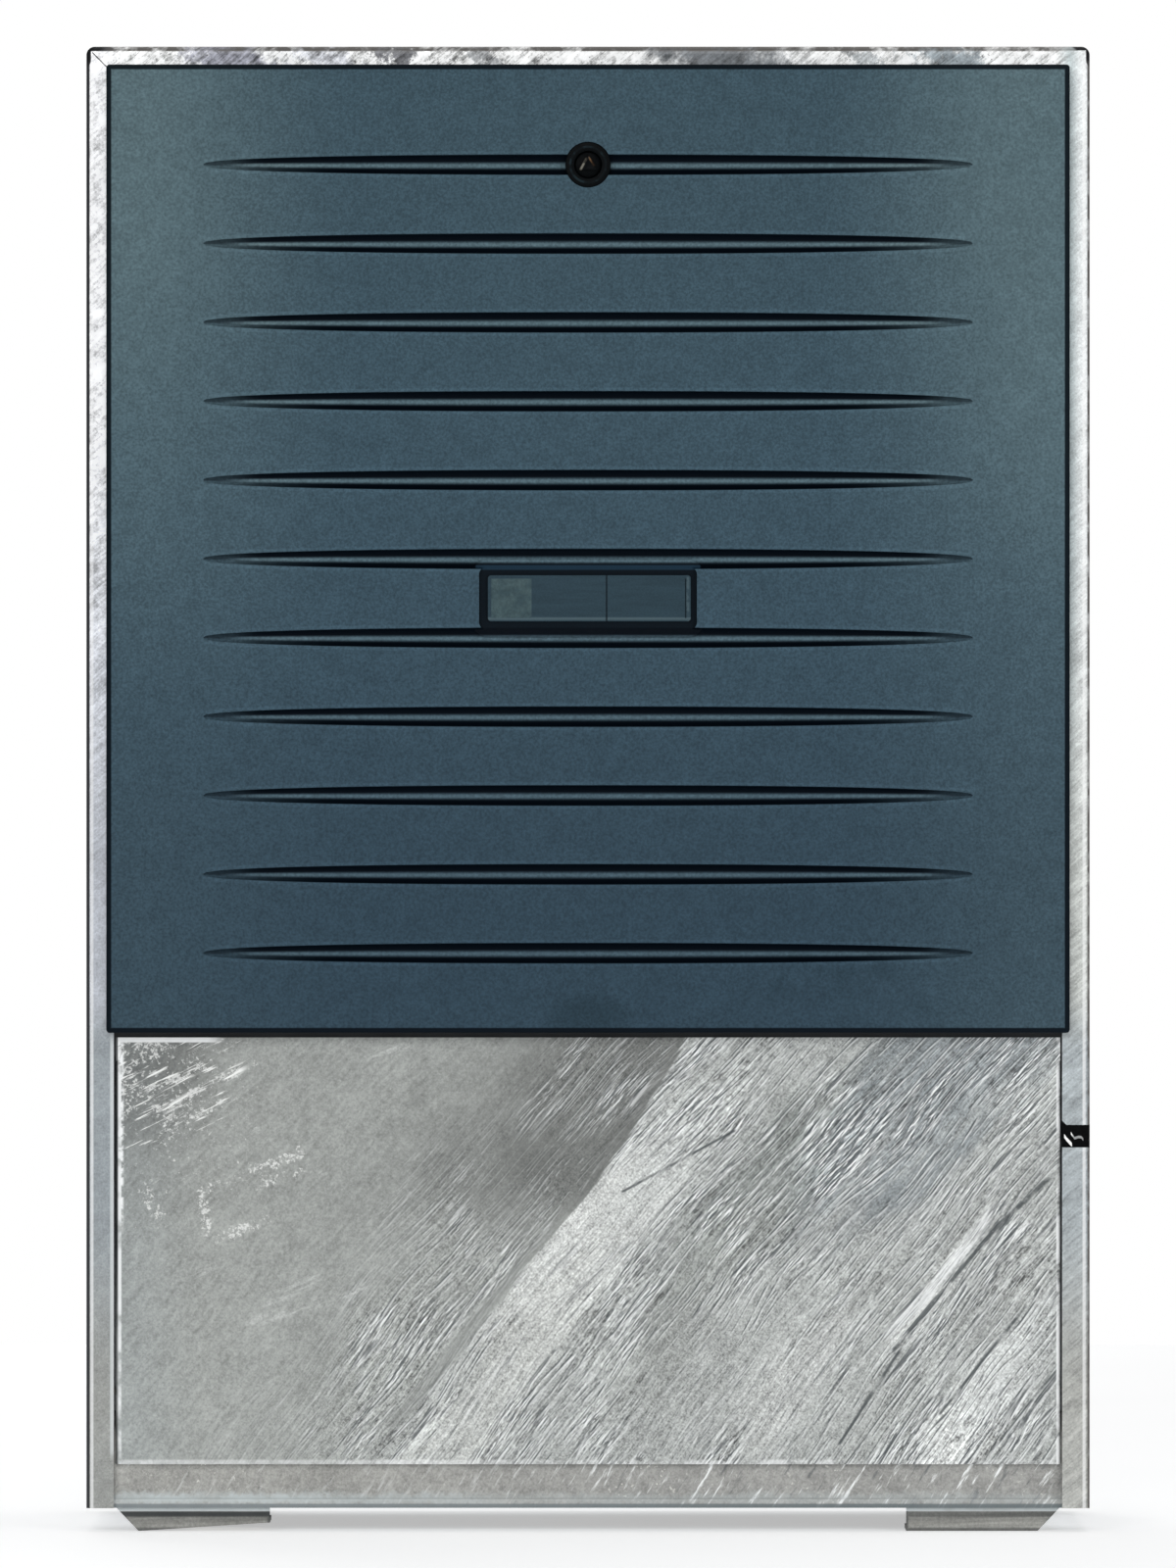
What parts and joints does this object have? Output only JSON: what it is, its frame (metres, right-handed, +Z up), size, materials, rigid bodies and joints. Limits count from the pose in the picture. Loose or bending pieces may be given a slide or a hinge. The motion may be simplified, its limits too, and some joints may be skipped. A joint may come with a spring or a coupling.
{
  "type": "cable distribution cabinet",
  "caption": "Free-standing galvanised cabinet with a fluted drop-front door, a lift-off lower cover on the cable space, and fuse rails on busbars inside.",
  "frame": {"origin": "on the ground, midway between the sides and between front and back", "axes": "+Z up, +X to the right seen from the front, door facing -Y"},
  "size_m": [0.6, 0.246, 0.888],
  "materials": {
    "zinc_casing": "hot-dip galvanised, bright and slightly streaked",
    "zinc_cover": "hot-dip galvanised, matte with slanting runs",
    "zinc_frame": "hot-dip galvanised, matte",
    "zinc_feet": "galvanised, weathered grey",
    "bright_steel": "zinc plated",
    "door_plastic": "dark blue-grey, fine moulded grain",
    "label_plastic": "dark blue-grey, satin",
    "label_card": "bare grey-blue card",
    "lock_plastic": "black",
    "rail_plastic": "dark grey moulding",
    "contact_metal": "silver-plated copper",
    "copper": "bare copper",
    "insulator": "red-brown cast resin",
    "fuse_ceramic": "unglazed white ceramic"
  },
  "bodies": {
    "cabinet": {"casing_shell": "zinc_casing", "back_panel": "zinc_casing", "back_panel_screws": "bright_steel", "base_rail_front": "zinc_frame", "base_rail_rear": "zinc_frame", "foot_front_left": "zinc_feet", "foot_front_right": "zinc_feet", "foot_rear_left": "zinc_feet", "foot_rear_right": "zinc_feet", "door_sill": "zinc_frame", "hinge_lug_left": "zinc_frame", "hinge_lug_right": "zinc_frame", "lower_cover": "zinc_cover", "notch_insert": "lock_plastic", "cover_clip": "bright_steel", "upright_left": "zinc_frame", "upright_right": "zinc_frame", "busbar_support_left": "insulator", "busbar_support_right": "insulator", "neutral_support_left": "insulator", "neutral_support_right": "insulator", "neutral_bar": "copper", "neutral_bolts": "bright_steel", "cable_rail": "zinc_frame", "busbar_1": "copper", "busbar_2": "copper", "busbar_3": "copper", "rail_bolts": "bright_steel", "fuse_rail_1": "rail_plastic", "fuse_rail_2": "rail_plastic", "fuse_rail_3": "rail_plastic", "fuse_rail_4": "rail_plastic", "rail_contacts_1": "contact_metal", "rail_contacts_2": "contact_metal", "rail_contacts_3": "contact_metal", "rail_contacts_4": "contact_metal", "fuse_link_1_1": "fuse_ceramic", "fuse_link_1_2": "fuse_ceramic", "fuse_link_1_3": "fuse_ceramic", "fuse_link_2_1": "fuse_ceramic", "fuse_link_2_2": "fuse_ceramic", "fuse_link_2_3": "fuse_ceramic", "fuse_link_3_1": "fuse_ceramic", "fuse_link_3_2": "fuse_ceramic", "fuse_link_3_3": "fuse_ceramic", "fuse_link_4_1": "fuse_ceramic", "fuse_link_4_2": "fuse_ceramic", "fuse_link_4_3": "fuse_ceramic"},
    "door": {"door_panel": "door_plastic", "hinge_pin_left": "bright_steel", "hinge_pin_right": "bright_steel", "label_plate": "label_plastic", "label_card": "label_card", "lock_housing": "lock_plastic", "lock_nut": "bright_steel"},
    "lock": {"lock_spindle": "lock_plastic", "lock_cam": "bright_steel", "cam_screw": "bright_steel"}
  },
  "joints": [
    {"name": "door_hinge", "type": "hinge", "parent": "cabinet", "child": "door", "pos_m": [0, -0.113, 0.3035], "axis": [1, 0, 0], "range_deg": [0, 90]},
    {"name": "lock_turn", "type": "hinge", "parent": "door", "child": "lock", "pos_m": [0, -0.11, 0.8166], "axis": [0, -1, 0], "range_deg": [0, 90]}
  ]
}
